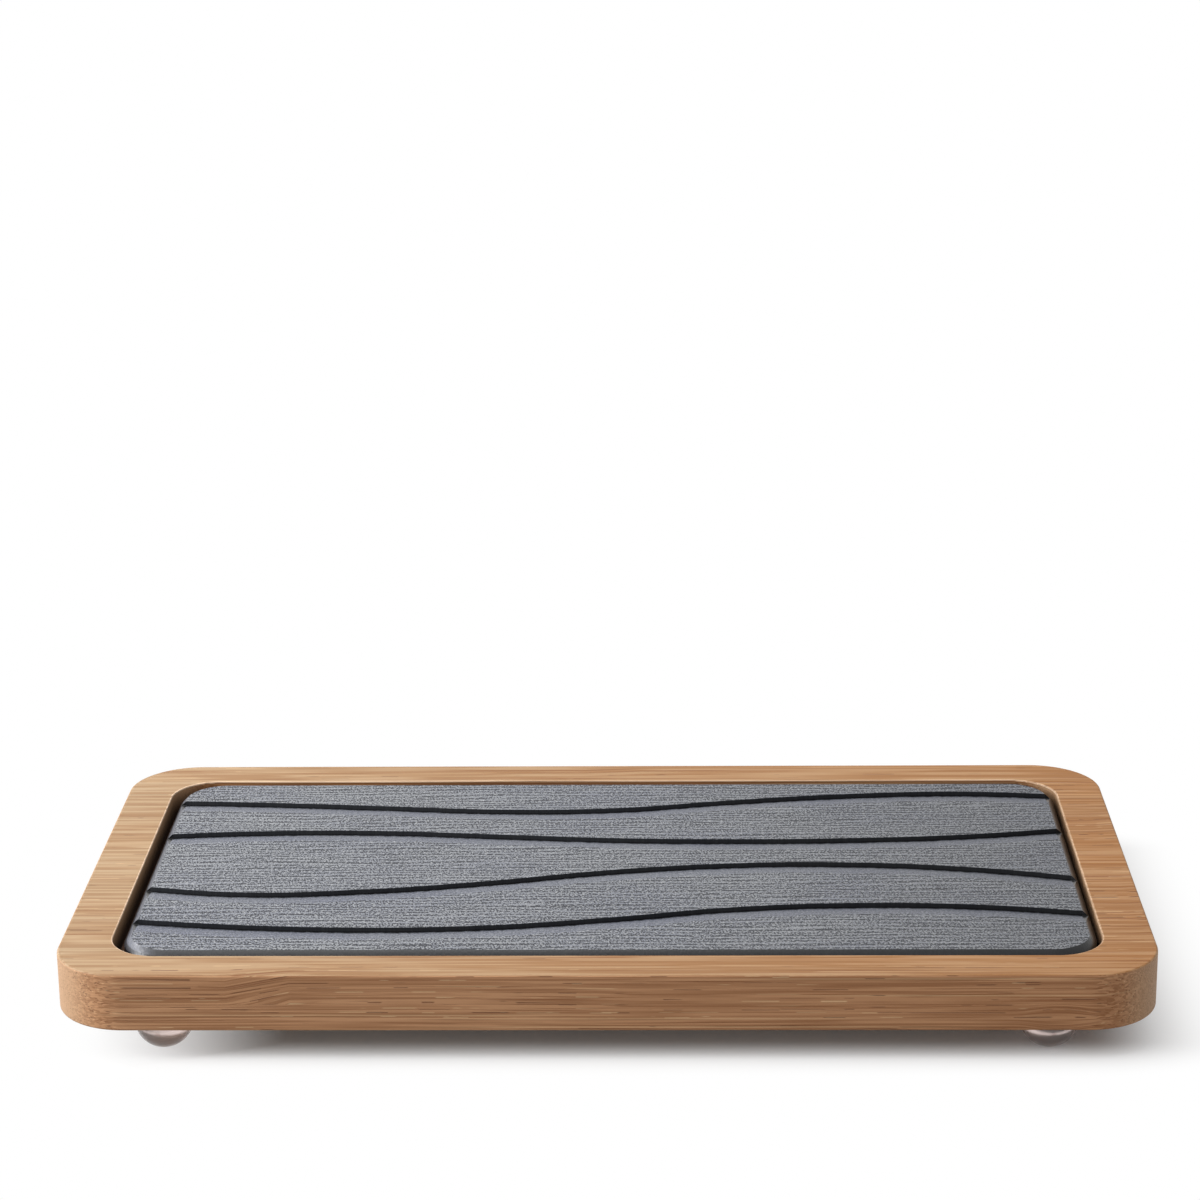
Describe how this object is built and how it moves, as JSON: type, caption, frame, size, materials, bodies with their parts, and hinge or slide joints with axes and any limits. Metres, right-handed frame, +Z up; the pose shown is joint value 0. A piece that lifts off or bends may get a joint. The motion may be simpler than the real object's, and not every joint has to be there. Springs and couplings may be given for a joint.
{
  "type": "countertop tray",
  "caption": "Rounded bamboo tray on clear domed feet, with a recess that holds a loose dark stone plate with wavy drain grooves.",
  "frame": {"origin": "on the surface that the tray stands on, under the middle of the board", "axes": "+X along the board's long side, to the right seen from the front; +Y to the back; +Z up"},
  "size_m": [0.26, 0.14, 0.0213],
  "materials": {
    "bamboo": "planed, sanded and lightly oiled laminated bamboo, grain along the long side",
    "stone": "pressed mineral plate, sanded along its length, matt and absorbent",
    "clear_rubber": "clear glossy polyurethane",
    "adhesive": "thin clear pressure-sensitive film"
  },
  "bodies": {
    "tray": {"rim_frame": "bamboo", "base_board": "bamboo", "foot_front_left": "clear_rubber", "foot_front_right": "clear_rubber", "foot_back_left": "clear_rubber", "foot_back_right": "clear_rubber", "adhesive_front_left": "adhesive", "adhesive_front_right": "adhesive", "adhesive_back_left": "adhesive", "adhesive_back_right": "adhesive"},
    "plate": {"stone_plate": "stone"}
  },
  "joints": [
    {"name": "plate_lift", "type": "slide", "parent": "tray", "child": "plate", "axis": [0, 0, 1], "range_m": [0, 0.03]}
  ]
}
